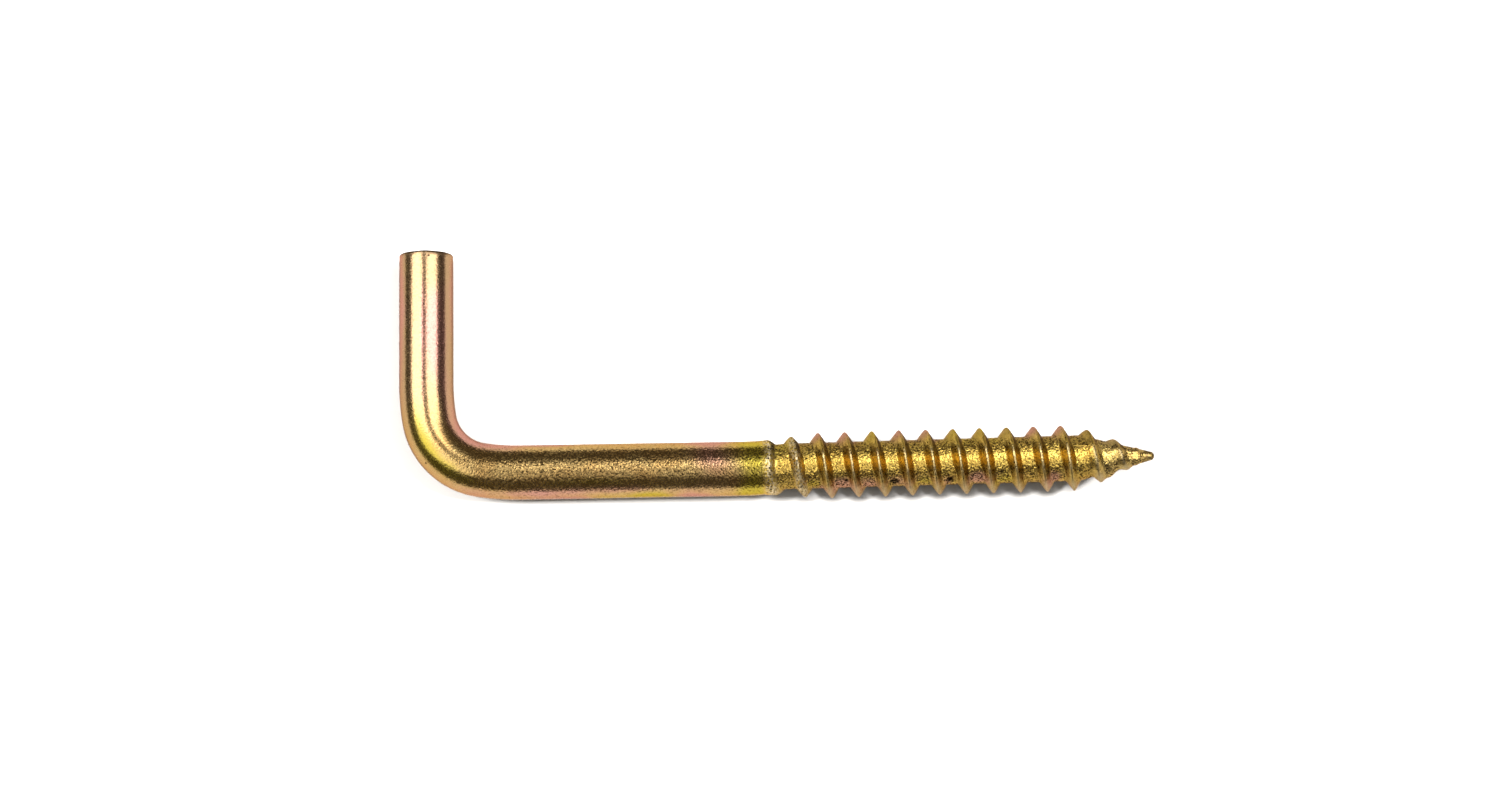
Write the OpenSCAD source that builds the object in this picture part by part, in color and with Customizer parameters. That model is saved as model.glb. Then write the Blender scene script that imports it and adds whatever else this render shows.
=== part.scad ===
// L-shaped screw hook, one piece of plated steel wire: a straight arm, a square
// bend, a plain shank and a rolled wood-screw thread that runs out into a point.
// It lies on its side, shank along +X, arm along +Y, z = 0 where it touches down.

/* [Wire] */
// Diameter of the wire
wire_d = 5.05; // [3:0.05:8]
// Length over all, outer side of the arm to the point
overall_l = 70; // [50:0.5:120]
// Height over all, outer side of the shank to the end of the arm
arm_h = 23.1; // [16:0.1:40]
// Rounding of the cut edge at the end of the arm
end_round = 0.3; // [0.1:0.05:0.8]

/* [Bend] */
// Radius of the bend on the wire's centreline
bend_r = 6.8; // [4:0.1:12]

/* [Thread] */
// Diameter over the crests
thread_d = 5.95; // [4:0.05:10]
// Diameter of the core between the crests
core_d = 4.22; // [2.4:0.05:7]
// Distance from one crest to the next
pitch = 2.49; // [1.8:0.01:4]
// Plain length, from the arm's axis to the first groove
plain_l = 31.3; // [15:0.1:60]
// Angle between the two flanks of a crest, in degrees
flank_a = 66; // [50:1:75]
// Width of the blunt top of a crest
crest_w = 0.16; // [0.08:0.02:0.4]
// Rounding at the foot of a crest
foot_round = 0.2; // [0.1:0.02:0.3]
// Turns that the crest takes to rise from the wire to its full height
rise_turns = 2.4; // [0.5:0.1:3]

/* [Point] */
// Length over which the crests taper
point_l = 6.9; // [4:0.1:12]
// Length over which the core tapers
core_point_l = 6.5; // [3:0.1:11]
// Radius of the blunt tip
tip_r = 0.3; // [0.15:0.01:0.8]
// Lean of the threaded length out of the shank's line, in degrees
lean_a = 0.75; // [0:0.05:2]

/* [Hidden] */
$fn = 96;

wire_r = wire_d / 2;
thread_r = thread_d / 2;
core_r = core_d / 2;
tip_x = overall_l - wire_r; // from the arm's axis
arm_end = arm_h - wire_r;   // from the shank's axis

// The thread: profile stations over one pitch, from one crest to the next,
// each an offset from the crest and a height between the core (0) and the crest (1).
depth = thread_r - core_r;
foot = crest_w / 2 + depth * tan(flank_a / 2);
bank = foot - foot_round * tan(flank_a / 2);        // where a flank starts to round out
land = min(foot + foot_round, pitch / 2 - 0.05);    // where the bare core starts
STATIONS = [
    [0, 1],
    [crest_w / 2, 0.95],
    [bank, foot_round / depth],
    [land, 0],
    [pitch / 2, 0],
    [pitch - land, 0],
    [pitch - bank, foot_round / depth],
    [pitch - crest_w / 2, 0.95]
];
per = len(STATIONS);
seam = -100;              // where the groove starts, on the side it lies on
blank_r = wire_r - 0.02;  // the wire just before the groove, a hair under the shank
start_x = plain_l + pitch * seam / 360;
end_x = tip_x - tip_r;    // where the blunt tip begins
rows = max([for (i = [per:60 * per])
    if (start_x + pitch * (floor(i / per) + 1) + STATIONS[i % per][0] < end_x - 0.1) i]);
turns = floor(rows / per);
cols = min(40, floor(5600 / rows)); // keeps the facets of a long, fine thread in bounds

function smooth(t) = t <= 0 ? 0 : t >= 1 ? 1 : t * t * (3 - 2 * t);
function crest_at(x, s) = min(
    blank_r + (thread_r - blank_r) * smooth((s - 0.2) / rise_turns),
    tip_r + (thread_r - tip_r) * max(0, end_x - x) / point_l);
function core_at(x, s) = min(
    blank_r - (blank_r - core_r) * smooth(s / 0.3),
    tip_r + (core_r - tip_r) * max(0, end_x - x) / core_point_l);

// A point of the helical grid: row i runs along the thread, column j goes round it.
function grid_point(i, j) =
    let (s = floor(i / per) + j / cols,
         st = STATIONS[i % per],
         x = start_x + pitch * s + st[0],
         c = core_at(x, s),
         r = c + max(0, crest_at(x, s) - c) * st[1],
         a = seam + 360 * j / cols)
    [x, r * cos(a), r * sin(a)];
function ring(x, r) = [for (j = [0:cols - 1]) let (a = seam + 360 * j / cols)
    [x, r * cos(a), r * sin(a)]];

// At rest the arm lies flat and the shank is propped up on a crest.
crest_x = [for (k = [0:turns - 1]) plain_l + pitch * (k + 0.75)];
crest_prop = [for (k = [0:len(crest_x) - 1])
    (crest_at(crest_x[k], k + 0.75 - seam / 360) - wire_r) / crest_x[k]];
rest_a = atan(max(0, max(crest_prop)));
side_low = min([for (k = [0:turns - 1]) let (x = plain_l + pitch * (k + 0.5))
    (x - start_x) * sin(lean_a) - crest_at(x, k + 0.5 - seam / 360)]);
mid_x = (tip_x * cos(rest_a) - wire_r) / 2;
mid_y = (arm_end + min(side_low, -wire_r)) / 2;

// Straight arm, its cut end rounded off at the edge
module arm() {
    color("DarkGoldenrod")
        translate([0, bend_r, 0])
            rotate([-90, 0, 0])
                rotate_extrude() {
                    square([wire_r, arm_end - bend_r - end_round]);
                    square([wire_r - end_round, arm_end - bend_r]);
                    intersection() {
                        translate([wire_r - end_round, arm_end - bend_r - end_round])
                            circle(r = end_round);
                        square([wire_r, arm_end - bend_r]);
                    }
                }
}

// Square bend between the arm and the shank
module bend() {
    color("DarkGoldenrod")
        translate([bend_r, bend_r, 0])
            rotate([0, 0, 180])
                rotate_extrude(angle = 90)
                    translate([bend_r, 0])
                        circle(d = wire_d);
}

// Plain shank up to the thread
module shank() {
    color("Goldenrod")
        translate([bend_r, 0, 0])
            rotate([0, 90, 0])
                cylinder(r = wire_r, h = start_x - 0.2 - bend_r);
}

// Rolled thread and point, one closed surface on a helical grid
module thread() {
    n = cols;
    first = (rows + 1) * n;        // the ring inside the shank
    last = first + n;              // the ring where the tip begins
    dome = [for (a = [30, 60]) ring(end_x + tip_r * sin(a), tip_r * cos(a))];
    pts = concat(
        [for (i = [0:rows]) each [for (j = [0:n - 1]) grid_point(i, j)]],
        ring(start_x - 0.8, blank_r),
        ring(end_x, tip_r), dome[0], dome[1],
        [[tip_x, 0, 0]]);
    function at(i, j) = j < n ? i * n + j : (i + per) * n + j - n;
    skin = [for (i = [0:rows - 1]) each [for (j = [0:n - 1]) if (j < n - 1 || i + 1 + per <= rows)
        each [[at(i, j), at(i + 1, j + 1), at(i, j + 1)], [at(i, j), at(i + 1, j), at(i + 1, j + 1)]]]];
    start = concat(
        [[for (j = [0:n - 1]) first + j]],
        [for (j = [0:n - 2]) each [[first + j, at(0, j + 1), first + j + 1],
            [first + j, at(0, j), at(0, j + 1)]]],
        [[first + n - 1, at(0, n - 1), first], [first, at(0, n - 1), at(0, 0)]],
        [for (k = [0:per - 1]) [at(k, 0), at(0, n - 1), at(k + 1, 0)]]);
    finish = concat(
        [for (k = [rows - per:rows - 1]) [at(k, n - 1), at(k + 1, n - 1), at(rows, 0)]],
        [for (j = [0:n - 2]) each [[at(rows, j), last + j + 1, at(rows, j + 1)],
            [at(rows, j), last + j, last + j + 1]]],
        [[at(rows, n - 1), last + n - 1, at(rows, 0)], [at(rows, 0), last + n - 1, last]],
        [for (k = [0:1]) each [for (j = [0:n - 1]) let (a = last + k * n + j, b = last + k * n + (j + 1) % n)
            each [[a, b + n, b], [a, a + n, b + n]]]],
        [for (j = [0:n - 1]) [last + 2 * n + j, last + 3 * n, last + 2 * n + (j + 1) % n]]);
    color("Gold")
        translate([start_x, 0, 0])
            rotate([0, 0, lean_a])
                translate([-start_x, 0, 0])
                    polyhedron(points = pts, faces = concat(skin, start, finish));
}

module screw_hook() {
    translate([-mid_x, -mid_y, wire_r])
        rotate([0, -rest_a, 0]) {
            arm();
            bend();
            shank();
            thread();
        }
}

screw_hook();
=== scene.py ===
import bpy
import math
import numpy as np
from mathutils import Matrix, Vector


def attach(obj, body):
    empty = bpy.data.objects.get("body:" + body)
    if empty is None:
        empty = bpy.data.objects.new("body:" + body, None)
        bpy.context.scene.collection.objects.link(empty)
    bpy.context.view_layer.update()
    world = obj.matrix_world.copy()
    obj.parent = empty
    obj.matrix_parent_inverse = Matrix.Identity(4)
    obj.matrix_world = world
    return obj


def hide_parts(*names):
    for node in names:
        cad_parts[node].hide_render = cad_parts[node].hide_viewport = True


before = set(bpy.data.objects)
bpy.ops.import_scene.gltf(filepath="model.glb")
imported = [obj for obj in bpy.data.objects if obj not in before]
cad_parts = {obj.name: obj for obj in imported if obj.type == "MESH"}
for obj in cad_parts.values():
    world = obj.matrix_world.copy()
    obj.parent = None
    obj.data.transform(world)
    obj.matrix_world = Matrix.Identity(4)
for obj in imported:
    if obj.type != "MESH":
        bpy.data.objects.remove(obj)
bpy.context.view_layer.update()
print("frame loaded")


# 3t^2 - 2t^3 between 0 and 1, flat on either side
def smoothStep(t):
    t = np.clip(t, 0.0, 1.0)
    return t * t * (3.0 - 2.0 * t)


# 0 up to a start, 1 once the value is a width past it, smooth between
def ramp(value, start, width):
    return smoothStep((value - start) / width)


# 1 at the middle, e^-1 at the reach; power 2 fades slowly, power 4 has a firm edge
def hill(value, middle, reach, power=2):
    return np.exp(-((value - middle) / reach) ** power)


# a hill along the wire and round it, by angles in degrees
def patch(along, degrees, middle, angle, reach, spread, power):
    turnAway = (degrees - angle + 180) % 360 - 180
    return np.exp(-((along - middle) / reach) ** power - (turnAway / spread) ** power)


# seeded random numbers from -1 to 1 on a cube lattice, blended between the lattice's corners by the smooth step
def valueNoise(place, cell, seed):
    side = 32                                         # lattice points along an edge, then it repeats
    lattice = np.random.default_rng(seed).random((side, side, side)) * 2.0 - 1.0
    at = place / cell
    low = np.floor(at).astype(int)
    part = smoothStep(at - low)
    total = np.zeros(place.shape[:-1])
    for corner in np.ndindex(2, 2, 2):
        weight = np.prod(np.where(corner, part, 1.0 - part), axis=-1)
        spot = (low + corner) % side
        total += weight * lattice[spot[..., 0], spot[..., 1], spot[..., 2]]
    return total


hook = {  # millimetres and degrees, from the point where the arm's axis crosses the shank's
    "wireRadius": 2.525,
    "armEnd": 20.66,
    "endRound": 0.2,
    "bendRadius": 5.83,
    "easeRadius": 23.0,      # the bend opens out to this radius
    "easeAngle": 8.7,        # over this angle at either end
    "threadRadius": 3.03,
    "coreRadius": 2.105,
    "pitch": 2.491,
    "plainLength": 31.28,
    "seam": -100.0,          # angle round the shank where the groove starts
    "slant": (0.46, -0.14),  # how far the shank's end leans along the wire on the arm's side, and on top
    "slantAt": 0.6,          # this far past the plain length
    "slantReach": 0.9,
    "riseFrom": 0.2,         # turns before the crest starts to rise
    "riseTurns": 2.4,
    "grooveTurns": 0.3,      # turns over which the groove gets to its depth
    "pointLength": 6.9,
    "corePointLength": 6.5,
    "tipRadius": 0.43,
    "tipX": 67.38,
    "offset": 0.1,           # the threaded length sits this far towards the arm's side
    "lean": 0.0118,          # slope of the threaded length towards the arm's side
    "leanFrom": 29.0,
    "leanReach": 5.0,        # the offset comes in over this length
    "crestHalf": 0.09,
    "crestRound": 0.03,      # share of a crest's height in its round top
    "roundReach": 0.13,
    "footBefore": 0.78,      # half width of a crest at its foot, on the arm's side
    "footAfter": 0.66,       # and on the point's side
    "restTilt": 0.76,        # the shank is propped up on its crests
    "middle": (32.4727, 8.84527),
}

grid = {  # how the surface is cut into rows and columns, in millimetres
    "columns": 150,
    "faceRings": (0.45, 0.95, 1.45, 1.85, 2.1),       # radii of the rings across the cut face
    "cornerAngles": (0, 18, 36, 54, 72, 90),
    "armFrom": 0.25,         # past the rounded edge
    "armStep": 0.7,
    "bendFrom": 9.3,         # below the arm's end
    "bendLength": 16.5,
    "bendStep": 0.3,
    "shankFrom": 16.8,       # after the start of the bend's rows
    "shankStep": 0.9,
    "shankTo": 2.0,          # before the thread
    "shankEnd": (1.8, 1.5, 1.2, 0.9, 0.6, 0.3),       # the last rows before the thread
    "flankRows": 11,
    "flankSqueeze": 1.1,     # draws the rows of a flank together towards its crest
    "footMargin": 0.03,      # room between a foot and the first row of the land
    "landRows": 12,
    "tipMargin": 0.1,
    "tipRows": 4,
    "domeAngles": (0, 20, 40, 60, 77),
}

uneven = {  # millimetres outwards; a noise is its depth, the spacing of its cells and its seed
    "swell": (0.006, 2.6, 3),
    "pebbles": ((0.42, 5, 0.6), (0.24, 7, 0.55)),     # spacing, seed and share of each
    "landDepth": 0.021,      # on the core between the crests
    "litLess": 0.01,         # less by this where it faces up
    "flankDepth": 0.009,
    "startRise": 0.03,       # the shank's end stands up
    "startDepth": 0.065,
    "crestWobble": (0.03, 0.9, 11),
    "bulge": (0.2, 62.7, 0.8),                        # depth, place along the shank, reach
    "bulgeFoot": (0.5, 63.22, 0.6),
    "endWobble": (0.03, 0.7, 13),
    "endReach": 0.35,
    "edgeWave": (0.045, 0.8, 17),
    "edgeReach": 0.28,
    "rimWidth": 0.2,         # the dark line round the cut end
    "rimWobble": (0.06, 0.6, 19),
    "nick": (0.3, 92.0, 0.1, 9.0, 0.03),              # as in the list of dents, but from the cut end
}

dents = [  # along the shank from the arm's axis, angle round it, half length, half width in degrees, depth
    (43.3, 152.0, 0.44, 7.0, 0.2),
    (48.45, 151.0, 0.3, 9.0, 0.2),
    (38.9, 140.0, 0.16, 5.0, 0.05),
    (53.2, 128.0, 0.14, 4.5, 0.05),
]

marks = [  # small dark specks: along the wire from the cut end, angle, radius, strength
    (0.5, 79.0, 0.11, 0.7), (16.15, 108.0, 0.06, 0.6), (18.85, 145.0, 0.1, 1.0),
    (25.6, 163.0, 0.07, 0.7), (30.1, 162.0, 0.06, 0.7), (46.6, 150.0, 0.07, 0.6),
]

tints = {  # where the plating turns: along the wire from the cut end, angle, reach along, reach round, strength
    "rose": [
        # arm
        (7.5, 68.0, 4.6, 20.0, 0.95), (4.5, 166.0, 9.0, 28.0, 1.0), (3.5, 10.0, 5.0, 24.0, 0.7),
        (8.0, 92.0, 9.0, 5.0, 0.5), (8.0, 47.0, 12.0, 9.0, 0.35),
        # bend and shank
        (20.5, 14.0, 6.5, 36.0, 1.1), (29.5, 12.0, 3.0, 16.0, 0.8), (25.0, 170.0, 6.0, 22.0, 0.45),
        (31.5, 180.0, 3.4, 20.0, 0.5), (36.0, 140.0, 6.0, 14.0, 0.45), (27.0, 146.0, 6.0, 14.0, 0.45),
        (44.0, 70.0, 2.4, 60.0, 0.5), (43.6, 14.0, 2.6, 20.0, 0.9), (42.5, 176.0, 2.2, 24.0, 0.85),
        # thread
        (64.0, 138.0, 15.0, 17.0, 0.32), (54.2, 5.0, 0.9, 40.0, 0.9), (56.7, 5.0, 1.0, 40.0, 0.95),
        (61.7, 5.0, 0.9, 40.0, 0.9), (64.3, 5.0, 1.0, 40.0, 0.9), (74.0, 5.0, 0.9, 40.0, 1.0),
        (76.5, 5.0, 1.0, 36.0, 0.7), (54.5, 172.0, 0.5, 20.0, 0.6), (56.3, 160.0, 1.2, 26.0, 0.9),
        (58.9, 165.0, 1.0, 20.0, 0.7), (61.6, 160.0, 1.0, 22.0, 0.5), (66.0, 165.0, 0.6, 22.0, 0.6),
        (68.8, 150.0, 1.0, 26.0, 0.9), (75.7, 155.0, 0.7, 26.0, 0.9),
    ],
    "green": [
        # arm and bend
        (6.0, 130.0, 14.0, 12.0, 0.25), (19.5, 126.0, 4.0, 14.0, 0.5), (17.5, 110.0, 3.5, 14.0, 0.5),
        # shank
        (34.0, 186.0, 1.6, 24.0, 0.7), (38.6, 180.0, 2.2, 26.0, 1.3), (33.0, 120.0, 6.0, 12.0, 0.4),
        (48.4, 60.0, 2.0, 60.0, 0.8), (48.3, 8.0, 2.0, 30.0, 0.9), (48.2, 160.0, 2.0, 50.0, 0.85),
        # thread
        (51.0, 5.0, 1.3, 50.0, 0.7), (59.2, 5.0, 1.1, 50.0, 0.9), (67.0, 5.0, 1.6, 50.0, 0.9),
        (70.0, 5.0, 1.6, 50.0, 0.8), (79.5, 30.0, 3.2, 80.0, 0.3), (53.6, 150.0, 0.8, 18.0, 0.9),
        (64.0, 147.0, 0.9, 22.0, 0.9), (71.3, 150.0, 1.2, 30.0, 0.9),
    ],
}


# the wire's middle line: heading is the running sum of curvature, place the running sum of heading;
# curvature is one over the ease radius in the ease arcs, one over the bend radius between them, nothing elsewhere
def wirePath(h):
    ease = math.radians(h["easeAngle"])
    mainHalf = (math.pi / 4 - ease) * h["bendRadius"]
    wholeHalf = mainHalf + ease * h["easeRadius"]
    table = np.linspace(0.0, 100.0, 100001)
    bendMiddle, blur = 30.0, 0.5                      # one radius turns into the next over twice the blur
    away = np.abs(table - bendMiddle)
    inMain = smoothStep(mainHalf + blur - away)
    inWhole = smoothStep(wholeHalf + blur - away)
    curvature = inWhole / h["easeRadius"] + inMain * (1 / h["bendRadius"] - 1 / h["easeRadius"])
    turned = np.cumsum(curvature)
    heading = (turned / turned[-1] - 1.0) * math.pi / 2
    x = np.cumsum(np.cos(heading)) * table[1]
    y = np.cumsum(np.sin(heading)) * table[1]
    x, y = x - x[0], y - y[-1]
    table = table - (y[0] - h["armEnd"])              # distance 0 at the cut end
    return {"table": table, "x": x, "y": y, "heading": heading, "shankStart": table[-1] - x[-1]}


# a point of the surface: the middle line's place, plus the radius times (its normal times cosine, up times sine)
def onWire(h, path, along, angle, radius):
    x = np.interp(along, path["table"], path["x"])
    y = np.interp(along, path["table"], path["y"])
    heading = np.interp(along, path["table"], path["heading"])
    past = np.maximum(0.0, x - h["leanFrom"])
    y = y + (h["offset"] + h["lean"] * past) * smoothStep(past / h["leanReach"])
    # the shank's end runs straighter round the wire than the crests do
    slant = h["slant"][0] * np.cos(angle) + h["slant"][1] * np.sin(angle)
    x = x + slant * hill(x - h["plainLength"], h["slantAt"], h["slantReach"])
    out = np.stack([-np.sin(heading) * np.cos(angle), np.cos(heading) * np.cos(angle),
                    np.sin(angle) + 0 * heading], -1)
    return np.stack([x, y, 0 * x], -1) + radius[..., None] * out, out


# crest height between core (0) and crest (1) at a distance from the crest line:
# a straight flank that starts at half its slope where it leaves the land, with a small round on the top
def flank(h, distance, before):
    foot = np.where(before, h["footBefore"], h["footAfter"])
    t = np.clip((foot - distance) / (foot - h["crestHalf"]), 0.0, 1.0)
    top = h["crestRound"]
    side = (1 - top) * t * (0.5 + 0.5 * smoothStep(t / 0.45))
    return side + top * smoothStep(1 - distance / h["roundReach"])


# where the groove starts along the shank: its turn is counted from the plain length
def grooveStart(h):
    return h["plainLength"] + h["pitch"] * h["seam"] / 360


# radius at a place along the shank and a part of a turn: the core, plus the crest's height times the flank;
# the crest rises out of the wire over the first turns, and both taper off towards the tip;
# with it go the height, which side of the crest line it is on, the turns of that crest, and the turns of the groove
def threadRadius(h, x, part):
    startX = grooveStart(h)
    endX = h["tipX"] - h["tipRadius"]
    phase = (x - startX) / h["pitch"] - part
    turn = np.floor(phase + 1e-9)
    ahead = np.clip(phase - turn, 0.0, 1.0)
    before = ahead > 0.5
    distance = np.where(before, 1.0 - ahead, ahead) * h["pitch"]
    grown = turn + part + before                      # turns since the crest began
    wire = h["wireRadius"]
    taper = np.maximum(0.0, endX - x)
    crest = np.minimum(wire + (h["threadRadius"] - wire) * ramp(grown, h["riseFrom"], h["riseTurns"]),
                       h["tipRadius"] + (h["threadRadius"] - h["tipRadius"]) * taper / h["pointLength"])
    core = np.minimum(wire - (wire - h["coreRadius"]) * smoothStep((turn + part) / h["grooveTurns"]),
                      h["tipRadius"] + (h["coreRadius"] - h["tipRadius"]) * taper / h["corePointLength"])
    core = np.where(phase < 0, wire, core)
    height = flank(h, distance, before)
    return core + np.maximum(0.0, crest - core) * height, height, before, grown, phase


# rows of the surface, from the middle of the cut end to the tip: place along the wire, radius, and vertex numbers;
# in the thread a row runs along the crests, so its last column meets the first column one pitch further on,
# and one wedge of rows that fan out closes it at either end
def hookRows(h, g, path):
    columns = g["columns"]
    part = np.arange(columns) / columns
    wire, edge = h["wireRadius"], h["endRound"]
    startX = grooveStart(h)
    endX = h["tipX"] - h["tipRadius"]
    bendAt = h["armEnd"] - g["bendFrom"]
    rings, corner = g["faceRings"], np.radians(g["cornerAngles"])
    shankEnd = path["shankStart"] + startX
    lengths = np.concatenate([
        np.zeros(len(rings)), edge * (1 - np.cos(corner)),
        np.arange(edge + g["armFrom"], bendAt, g["armStep"]),
        np.arange(bendAt, bendAt + g["bendLength"], g["bendStep"]),
        np.arange(bendAt + g["shankFrom"], shankEnd - g["shankTo"], g["shankStep"]),
        shankEnd - np.array(g["shankEnd"])])
    rounded = len(rings) + len(corner)
    radii = np.full(len(lengths), wire)
    radii[:rounded] = np.concatenate([rings, wire - edge + edge * np.sin(corner)])
    tube = (np.repeat(lengths[:, None], columns, 1), np.repeat(radii[:, None], columns, 1))

    steps = np.linspace(0.0, 1.0, g["flankRows"]) ** g["flankSqueeze"]
    footAfter, footBefore = h["footAfter"] + g["footMargin"], h["footBefore"] + g["footMargin"]
    land = np.linspace(footAfter, h["pitch"] - footBefore, g["landRows"] + 2)[1:-1]
    offset = np.concatenate([steps * footAfter, land, h["pitch"] - steps[:0:-1] * footBefore])
    per = len(offset)
    last = per * int((endX - g["tipMargin"] - startX) / h["pitch"] - 1)
    rows = np.arange(-per, last + per + 1)
    begin = (startX + h["pitch"] * (rows // per) + offset[rows % per])[:, None]
    finishX = startX + h["pitch"] * (last / per + 1)
    x = begin + h["pitch"] * part
    x = np.where(rows[:, None] < 0, startX + offset[rows % per][:, None] * part, x)
    x = np.where(rows[:, None] > last, begin + (finishX - begin) * part, x)
    radius = threadRadius(h, x, np.repeat(part[None], len(rows), 0))[0]
    thread = (x + path["shankStart"], radius)

    dome = np.radians(g["domeAngles"])
    cone = np.linspace(finishX, endX, g["tipRows"] + 2)[1:-1]
    tipX = np.concatenate([cone, endX + h["tipRadius"] * np.sin(dome)])
    tipRadii = np.concatenate([threadRadius(h, cone, 0 * cone)[0], h["tipRadius"] * np.cos(dome)])
    tip = (np.repeat(tipX[:, None] + path["shankStart"], columns, 1), np.repeat(tipRadii[:, None], columns, 1))

    blocks, numbers, count = (tube, thread, tip), [], 1       # vertex 0 is the middle of the cut end
    for block in blocks:
        numbers.append(count + np.arange(block[0].size).reshape(block[0].shape))
        count += block[0].size
    # each row's last column: its own first vertex, or in the thread the first one a pitch further on
    meet = [block[:, :1].copy() for block in numbers]
    meet[1][:-per] = numbers[1][per:, :1]
    meet[1][-per:] = numbers[1][-1, 0]
    numbers[1][:per, 0] = numbers[1][per, 0]
    closed = [np.hstack(pair) for pair in zip(numbers, meet)]
    numbers = np.vstack([np.zeros((1, columns + 1), int)] + closed + [np.full((1, columns + 1), count)])
    along = [[0.0]] + [block[0].ravel() for block in blocks] + [[h["tipX"] + path["shankStart"]]]
    radius = [[0.0]] + [block[1].ravel() for block in blocks] + [[0.0]]
    turns = [[0.0], np.tile(part, (count - 1) // columns), [0.0]]
    return np.concatenate(along), np.concatenate(radius), np.concatenate(turns), numbers


# four-sided faces between neighbouring rows, with a triangle where two corners are one vertex
def rowFaces(numbers):
    quads = np.stack([numbers[:-1, :-1], numbers[:-1, 1:], numbers[1:, 1:], numbers[1:, :-1]], -1).reshape(-1, 4)
    same = quads == np.roll(quads, -1, 1)
    whole = quads[~same.any(1)]
    threes = np.concatenate([quads[same[:, 0]][:, [1, 2, 3]], quads[same[:, 1]][:, [0, 1, 3]],
                             quads[same[:, 2] | same[:, 3]][:, [0, 1, 2]]])
    return whole, threes


# from the wire's own frame to the shared one: tipped up to rest on the crests, middle at the origin, metres
def atRest(h, place):
    tilt = math.radians(h["restTilt"])
    x = place[:, 0] * math.cos(tilt) - place[:, 2] * math.sin(tilt) - h["middle"][0]
    y = place[:, 1] - h["middle"][1]
    z = place[:, 0] * math.sin(tilt) + place[:, 2] * math.cos(tilt) + h["wireRadius"]
    return np.stack([x, y, z], -1) * 0.001


# what the shape and the looks are worked out from, one number a vertex
def surfaceFields(h, path, along, part):
    shankX = along - path["shankStart"]
    height, before, grown, phase = threadRadius(h, shankX, part)[1:]
    inThread = shankX > grooveStart(h) - 0.01
    groove = inThread * smoothStep(phase * 8 + 0.2)
    degrees = np.degrees(np.radians(h["seam"]) + 2 * math.pi * part)
    return {
        "along": along,
        "shankX": shankX,
        "degrees": degrees,
        "height": height,                             # 0 at the core, 1 at a crest; no use before the thread
        "before": before,
        "grown": grown,
        "groove": groove,
        "crest": np.where(inThread, height * (phase > -0.6), 0.0),
        "land": groove * (1 - smoothStep(height * 3.0)),
        "firstCrest": inThread * hill(phase * h["pitch"], 0.0, 0.36),
        "lit": hill(degrees, 89, 24, 4),              # the side that faces up
    }


# how far each vertex moves outwards, and how dark its hollows are
def unevenness(h, u, f, place, radius):
    def noise(name):
        depth, cell, seed = u[name]
        return depth * valueNoise(place, cell, seed)
    height, groove, land, degrees, shankX = f["height"], f["groove"], f["land"], f["degrees"], f["shankX"]
    pebble = sum(valueNoise(place, cell, seed) * share for cell, seed, share in u["pebbles"])
    rough = noise("swell") + land * (u["landDepth"] - u["litLess"] * f["lit"]) * pebble
    rough = rough + groove * (1 - land) * u["flankDepth"] * pebble
    rough = rough + f["firstCrest"] * (u["startRise"] + u["startDepth"] * pebble)
    rough = rough + groove * smoothStep(height * 4 - 3) * noise("crestWobble")
    deep = np.zeros(len(shankX))
    for dentX, dentAngle, halfLength, halfWidth, depth in dents:
        hollow = patch(shankX, degrees, dentX, dentAngle, halfLength, halfWidth, 4)
        rough = rough - depth * hollow
        deep = np.maximum(deep, hollow)
    # the last full crest bulges on the far side and runs out slowly towards the tip
    below = hill(degrees, 195, 50)
    bulge, bulgeX, bulgeReach = u["bulge"]
    rough = rough + bulge * height * hill(shankX, bulgeX, bulgeReach) * below
    bulge, bulgeX, bulgeReach = u["bulgeFoot"]
    rough = rough + bulge * (1 - 0.8 * height) * hill(shankX, bulgeX, bulgeReach) * below
    # the cut end: an uneven edge with a nick, and a dark line round it
    rough = rough + hill(f["along"], 0.0, u["endReach"]) * (radius > 1.0) * noise("endWobble")
    nickAt, nickAngle, halfLength, halfWidth, depth = u["nick"]
    nick = patch(f["along"], degrees, nickAt, nickAngle, halfLength, halfWidth, 4)
    rough = rough - depth * nick
    rim = hill(f["along"], 0.0, u["rimWidth"] + noise("rimWobble"), 4) * ramp(radius, 2.0, 0.3)
    # the tip is half dark
    deep = np.maximum(deep, 0.5 * ramp(shankX, h["tipX"] - 0.5, 0.4))
    return rough, np.maximum(np.maximum(deep, 0.6 * nick), 0.9 * rim)


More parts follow.
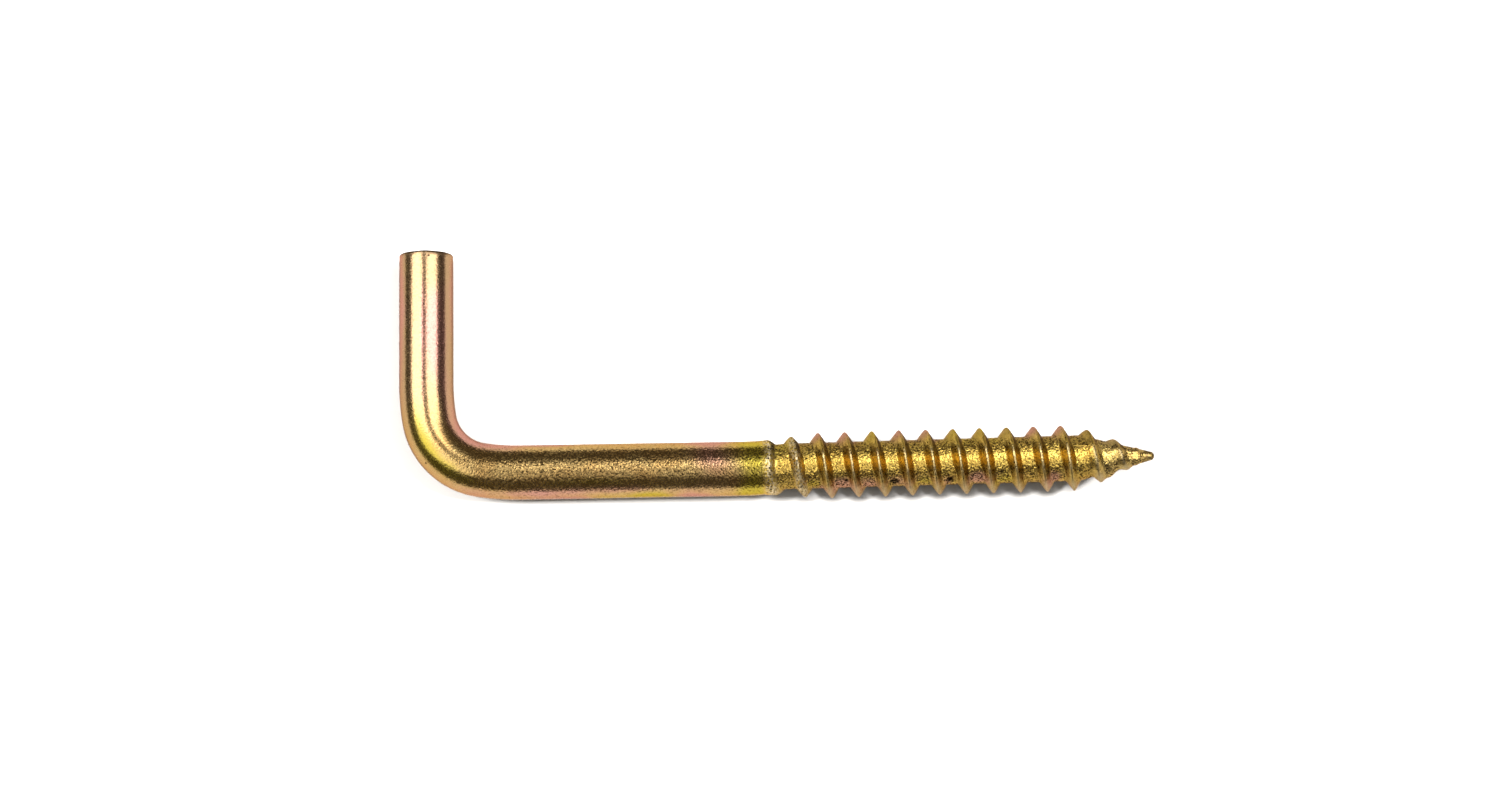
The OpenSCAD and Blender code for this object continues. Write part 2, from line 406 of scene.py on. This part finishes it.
# what the material reads, from 0 to 1, by attribute name
def surfaceMasks(f, deep):
    crest, land, degrees, along = f["crest"], f["land"], f["degrees"], f["along"]
    # painted shade on the sides of the thread, most on the arm's side, where they are also rougher; the cut face
    # gets the same dull colour;
    # the flanks that face the point get painted shade on that side
    across = np.cos(np.radians(degrees))
    aside = smoothStep((1.1 - np.sin(np.radians(degrees))) / 0.6)
    shadeAndDull = f["groove"] * aside * (1 + 0.3 * across - 0.6 * crest * np.minimum(across, 0))
    # painted shade on the flanks that face the point, on the arm's side
    shade = f["groove"] * (1 - land) * ~f["before"]
    shade = shade * smoothStep(across / 0.5 - 0.2) * smoothStep((1.0 - f["height"]) / 0.15)
    # the crests are worn and get a painted highlight where they face up; they are worn down the flanks on the far
    # side, and the point all over
    wornAndHighlit = ramp(crest, 0.86, 0.1) * ramp(degrees, 64, 14) * (1 - 0.6 * ramp(degrees, 112, 15))
    wornAndHighlit = wornAndHighlit + 0.7 * ramp(crest, 0.4, 0.4) * ramp(degrees, 135, 25)
    wornAndHighlit = wornAndHighlit + 0.4 * ramp(f["shankX"], 61.0, 2.0)
    # the first crest is scuffed as the end of the shank is
    onFirst = (f["grown"] > 0.9) * smoothStep((2.05 - f["grown"]) / 0.15) * smoothStep(crest * 1.6 - 0.2)
    masks = {
        "crest": crest,
        "land": land,
        "deep": deep,
        "shadeAndDull": np.maximum(shadeAndDull, along < 0.01),
        "shade": shade,
        "wornAndHighlit": np.minimum(wornAndHighlit, 1.0),
        "scuff": np.maximum(f["firstCrest"], 0.8 * onFirst * ramp(degrees, 10, 35)),
        # pits on the lands, fewer where they face up and more underneath: painted highlight on top and painted
        # shade below
        "pittedAndShaded": land * (1 - 0.9 * f["lit"] + 0.4 * ramp(degrees, 140, 20)),
        "arm": 1 - ramp(along, 11.0, 9.0),
        "grain": 0.27 + 0.73 * ramp(along, 17.0, 11.0),
    }
    for name, patches in tints.items():
        mask = np.zeros(len(along))
        for middle, angle, reach, spread, strength in patches:
            mask += strength * patch(along, degrees, middle, angle, reach, spread, 2)
        masks[name] = np.minimum(mask, 1.0) * (along > 0.01)       # not on the cut face
    return masks


def makeHook(h, g, u):
    path = wirePath(h)
    along, radius, part, numbers = hookRows(h, g, path)
    angle = np.radians(h["seam"]) + 2 * math.pi * part
    place, out = onWire(h, path, along, angle, radius)
    fields = surfaceFields(h, path, along, part)
    rough, deep = unevenness(h, u, fields, place, radius)
    place = place + out * rough[:, None]
    waveDepth, waveCell, waveSeed = u["edgeWave"]
    place[:, 1] += (along < u["edgeReach"]) * waveDepth * valueNoise(place, waveCell, waveSeed)
    place = atRest(h, place)

    used, compact = np.unique(numbers, return_inverse=True)
    whole, threes = rowFaces(compact.reshape(numbers.shape))
    mesh = bpy.data.meshes.new("screwHookWire")
    mesh.from_pydata(place[used].tolist(), [], whole.tolist() + threes.tolist())
    mesh.polygons.foreach_set("use_smooth", np.ones(len(mesh.polygons), bool))
    for name, values in surfaceMasks(fields, deep).items():
        mesh.attributes.new(name, "FLOAT", "POINT").data.foreach_set("value", values[used].astype(np.float32))
    mesh.update()
    body = bpy.data.objects.new("plated_hook", mesh)
    bpy.context.scene.collection.objects.link(body)
    print("hook:", len(used), "points,", 2 * len(whole) + len(threes), "triangles")
    return body


# a socket that takes part in sums: each operator adds its Math node
class Field:
    def __init__(self, recipe, socket):
        self.recipe, self.socket = recipe, socket

    def sum(self, operation, first, second):
        return self.recipe.add("ShaderNodeMath", {"operation": operation}, {0: first, 1: second})

    def __add__(self, other):
        return self.sum("ADD", self, other)

    def __radd__(self, other):
        return self.sum("ADD", other, self)

    def __sub__(self, other):
        return self.sum("SUBTRACT", self, other)

    def __rsub__(self, other):
        return self.sum("SUBTRACT", other, self)

    def __mul__(self, other):
        return self.sum("MULTIPLY", self, other)

    def __rmul__(self, other):
        return self.sum("MULTIPLY", other, self)

    # 0 up to low, 1 from high on, smooth between
    def between(self, low, high):
        return self.recipe.add("ShaderNodeMapRange", {"interpolation_type": "SMOOTHSTEP"},
                               {"Value": self, "From Min": low, "From Max": high})


# a node tree and the one way that nodes get into it
class Recipe:
    def __init__(self, tree):
        self.tree = tree
        tree.nodes.clear()

    # a node's type, its settings, the values or links of its sockets, and which output is wanted
    def add(self, kind, settings=None, sockets=None, output=0):
        node = self.tree.nodes.new(kind)
        for key, value in (settings or {}).items():
            setattr(node, key, value)
        for key, value in (sockets or {}).items():
            if isinstance(value, Field):
                self.tree.links.new(value.socket, node.inputs[key])
            else:
                node.inputs[key].default_value = value
        return Field(self, node.outputs[output]) if len(node.outputs) else None

    def mask(self, name):
        return self.add("ShaderNodeAttribute", {"attribute_type": "GEOMETRY", "attribute_name": name}, output="Fac")

    def mix(self, share, first, second, blend="MIX"):
        return self.add("ShaderNodeMix", {"data_type": "RGBA", "blend_type": blend},
                        {0: share, 6: first, 7: second}, 2)


plating = {  # colours are linear
    "gold": (0.355, 0.242, 0.094, 1),
    "ochre": (0.34, 0.205, 0.070, 1),
    "copper": (0.30, 0.194, 0.103, 1),
    "rose": (0.35, 0.172, 0.138, 1),
    "green": (0.325, 0.252, 0.034, 1),
    # pale crests: wear, and a painted highlight where they face up
    "wornAndHighlit": (0.37, 0.305, 0.19, 1),
    "bare": (0.66, 0.55, 0.34, 1),
    # colour of the painted shade on the thread's sides, and of the dull cut face
    "shadeAndDull": (0.135, 0.10, 0.034, 1),
    # near black, for pits, dents, marks and painted shade
    "pitAndShade": (0.02, 0.012, 0.006, 1),
    "thread": (1.36, 1.38, 0.78, 1),    # the rolled length is yellower by this much
    "edge": (0.66, 0.52, 0.45, 1),      # what the plating sends back at a grazing angle
    "roughness": 0.23,
    "turn": (0.5, 0.7, 0.4),            # keeps the noises' axes off the wire
    "grain": 5800,                      # cycles in a metre, as are the next four
    "grit": 5000,
    "pores": 4600,
    "tone": 420,
    "cloud": 230,
    "grainDepth": 0.000027,             # metres
    "pebbleDepth": 0.00014,
    "poreDepth": 0.00003,
}


def platedSteel(p, h):
    material = bpy.data.materials.new("yellow_plated_steel")
    material.use_nodes = True
    r = Recipe(material.node_tree)
    place = r.add("ShaderNodeTexCoord", output="Object")
    here = r.add("ShaderNodeMapping", {}, {"Vector": place, "Rotation": p["turn"]})

    def noise(name, detail, rough=0.55):
        sockets = {"Vector": here, "Scale": p[name], "Detail": detail, "Roughness": rough}
        return r.add("ShaderNodeTexNoise", {}, sockets)
    fine, grit = noise("grain", 0.0), noise("grit", 0.8, 0.5)
    cloud, tone = noise("cloud", 3.0), noise("tone", 5.0, 0.6)
    pores = r.add("ShaderNodeTexVoronoi", {}, {"Vector": here, "Scale": p["pores"]})
    land, crest, scuff = r.mask("land"), r.mask("crest"), r.mask("scuff")
    deep, grain, pittedAndShaded = r.mask("deep"), r.mask("grain"), r.mask("pittedAndShaded")

    rose = (r.mask("rose") + (cloud - 0.5) * 0.7).between(0.12, 0.8)
    green = (r.mask("green") + (0.5 - cloud) * 0.7).between(0.12, 0.8)
    colour = r.mix(tone.between(0.3, 0.75), p["gold"], p["ochre"])
    colour = r.mix(r.mask("arm"), colour, p["copper"])
    threaded = land.between(0.05, 0.5) + crest.between(0.02, 0.3)
    colour = r.mix(threaded, colour, p["thread"], "MULTIPLY")
    # painted shade on the sides of the thread, and the dull cut face
    colour = r.mix(r.mask("shadeAndDull") * 0.6, colour, p["shadeAndDull"])
    colour = r.mix(rose * (1.0 - threaded * 0.25), colour, p["rose"])
    colour = r.mix(green * (1.0 - threaded * 0.4), colour, p["green"])
    # wear on the crests and the point, with a painted highlight on the crests that face up
    wearAndHighlight = r.mask("wornAndHighlit") * (0.2 + 0.7 * grit)
    colour = r.mix(wearAndHighlight, colour, p["wornAndHighlit"])
    colour = r.mix(scuff * grit.between(0.43, 0.57), colour, p["bare"])
    # the dark share: real pits, grit, dents and marks, with painted shade from the shade mask and from the pits'
    # spread
    pitsAndShade = (1.0 - pores.between(0.33, 0.47)) * (pittedAndShaded * 0.85 + scuff * 0.9)
    pitsAndShade = pitsAndShade + 0.3 * grain * grit.between(0.53, 0.68) + deep + 0.75 * r.mask("shade")
    spots = np.array(marks)
    onSkin = np.full(len(spots), h["wireRadius"])
    spotPlaces = onWire(h, wirePath(h), spots[:, 0], np.radians(spots[:, 1]), onSkin)[0]
    for spot, (reach, strength) in zip(atRest(h, spotPlaces).tolist(), spots[:, 2:].tolist()):
        away = r.add("ShaderNodeVectorMath", {"operation": "DISTANCE"}, {0: place, 1: spot}, "Value")
        # from half the radius, in metres, to 1.4 times
        pitsAndShade = pitsAndShade + (1.0 - away.between(reach * 0.0005, reach * 0.0014)) * strength
    colour = r.mix(pitsAndShade, colour, p["pitAndShade"])

    rough = p["roughness"] + (fine - 0.5) * grain * 0.5 + pitsAndShade * 0.3 + scuff * 0.15 + crest * 0.08
    rough = rough + r.mask("shadeAndDull") * 0.1
    height = fine * grain * p["grainDepth"] + pittedAndShaded * grit * p["pebbleDepth"]
    height = height + land * pores.between(0.1, 0.4) * p["poreDepth"]
    bump = r.add("ShaderNodeBump", {}, {"Strength": 1.0, "Distance": 1.0, "Height": height})
    shader = r.add("ShaderNodeBsdfPrincipled", {}, {"Base Color": colour, "Metallic": 1.0, "Roughness": rough,
                                                    "Specular Tint": p["edge"], "Normal": bump})
    r.add("ShaderNodeOutputMaterial", {}, {"Surface": shader})
    return material


wireHook = makeHook(hook, grid, uneven)
wireHook.data.materials.append(platedSteel(plating, hook))
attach(wireHook, "root")
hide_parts("screw_hook")
print("hook dressed")


studio = {  # metres; a light is its middle, its sides and its power
    "floor": (0.305, 0.296, 0.286, 1),
    "floorHalf": (0.085, 0.05),
    "panels": {
        "leftPanel": ((-0.496, -0.01, 0.5), (0.708, 0.62), 4.1),
        "leftGlow": ((-0.496, 0.12, 0.49), (0.708, 0.22), 1.95),
        "rightPanel": ((0.287, -0.01, 0.5), (0.555, 0.62), 2.1),
        "rightGlow": ((0.287, 0.12, 0.49), (0.555, 0.22), 1.68),
    },
    "floorLights": {                                  # aimed at the middle and not seen in the metal
        "leftFloorLight": ((-0.7, 0.02, 0.86), (0.2, 0.2), 34.0),
        "rightFloorLight": ((0.62, 0.02, 0.88), (0.2, 0.2), 40.0),
    },
    "surroundings": (1, 0.86, 0.7, 1),
    "surroundingsStrength": 0.13,
    "backdrop": (1, 1, 1, 1),
    "cameraTarget": (-0.00238, -0.002355, 0.002525),
    "cameraDistance": 0.3254,
    "cameraElevation": 81.0,
    "cameraRoll": 0.865,
    "lens": 84.0,
    "sensor": 36.0,
}


def makeLight(name, place, sides, power):
    light = bpy.data.lights.new(name, "AREA")
    light.shape, light.size, light.size_y = "RECTANGLE", sides[0], sides[1]
    light.energy = power
    lamp = bpy.data.objects.new(name, light)
    lamp.location = place
    lamp.visible_camera = False
    bpy.context.scene.collection.objects.link(lamp)
    return lamp


def makeStudio(s):
    mesh = bpy.data.meshes.new("floorSheet")
    wide, deep = s["floorHalf"]
    mesh.from_pydata([(-wide, -deep, 0), (wide, -deep, 0), (wide, deep, 0), (-wide, deep, 0)], [], [(0, 1, 2, 3)])
    floor = bpy.data.objects.new("floor", mesh)
    bpy.context.scene.collection.objects.link(floor)
    paint = bpy.data.materials.new("pale_floor")
    paint.use_nodes = True
    r = Recipe(paint.node_tree)
    r.add("ShaderNodeOutputMaterial", {}, {"Surface": r.add("ShaderNodeBsdfDiffuse", {}, {"Color": s["floor"]})})
    mesh.materials.append(paint)
    for name, values in s["panels"].items():
        makeLight(name, *values)
    for name, values in s["floorLights"].items():
        lamp = makeLight(name, *values)
        lamp.rotation_euler = Vector(lamp.location).to_track_quat("Z", "Y").to_euler()
        lamp.visible_glossy = False
    world = bpy.data.worlds.new("studio")
    bpy.context.scene.world = world
    world.use_nodes = True
    # the camera sees a white backdrop, the metal a dim warm room
    r = Recipe(world.node_tree)
    dim = r.add("ShaderNodeBackground", {}, {"Color": s["surroundings"], "Strength": s["surroundingsStrength"]})
    pale = r.add("ShaderNodeBackground", {}, {"Color": s["backdrop"], "Strength": 1.0})
    seen = r.add("ShaderNodeLightPath", output="Is Camera Ray")
    r.add("ShaderNodeOutputWorld", {}, {"Surface": r.add("ShaderNodeMixShader", {}, {0: seen, 1: dim, 2: pale})})


def makeCamera(s):
    up, roll = math.radians(s["cameraElevation"]), math.radians(s["cameraRoll"])
    back = Vector((0, -math.cos(up), math.sin(up)))
    side = Vector((1, 0, 0))
    top = back.cross(side)
    across = side * math.cos(roll) - top * math.sin(roll)
    upward = side * math.sin(roll) + top * math.cos(roll)
    lens = bpy.data.cameras.new("camera")
    lens.lens, lens.sensor_width, lens.sensor_fit = s["lens"], s["sensor"], "HORIZONTAL"
    lens.clip_start, lens.clip_end = 0.01, 20.0
    camera = bpy.data.objects.new("camera", lens)
    turn = Matrix((across, upward, back)).transposed().to_4x4()
    camera.matrix_world = Matrix.Translation(Vector(s["cameraTarget"]) + back * s["cameraDistance"]) @ turn
    bpy.context.scene.collection.objects.link(camera)
    bpy.context.scene.camera = camera


makeStudio(studio)
makeCamera(studio)
bpy.context.scene.view_settings.view_transform = "Standard"
print("studio ready")

bpy.context.view_layer.update()
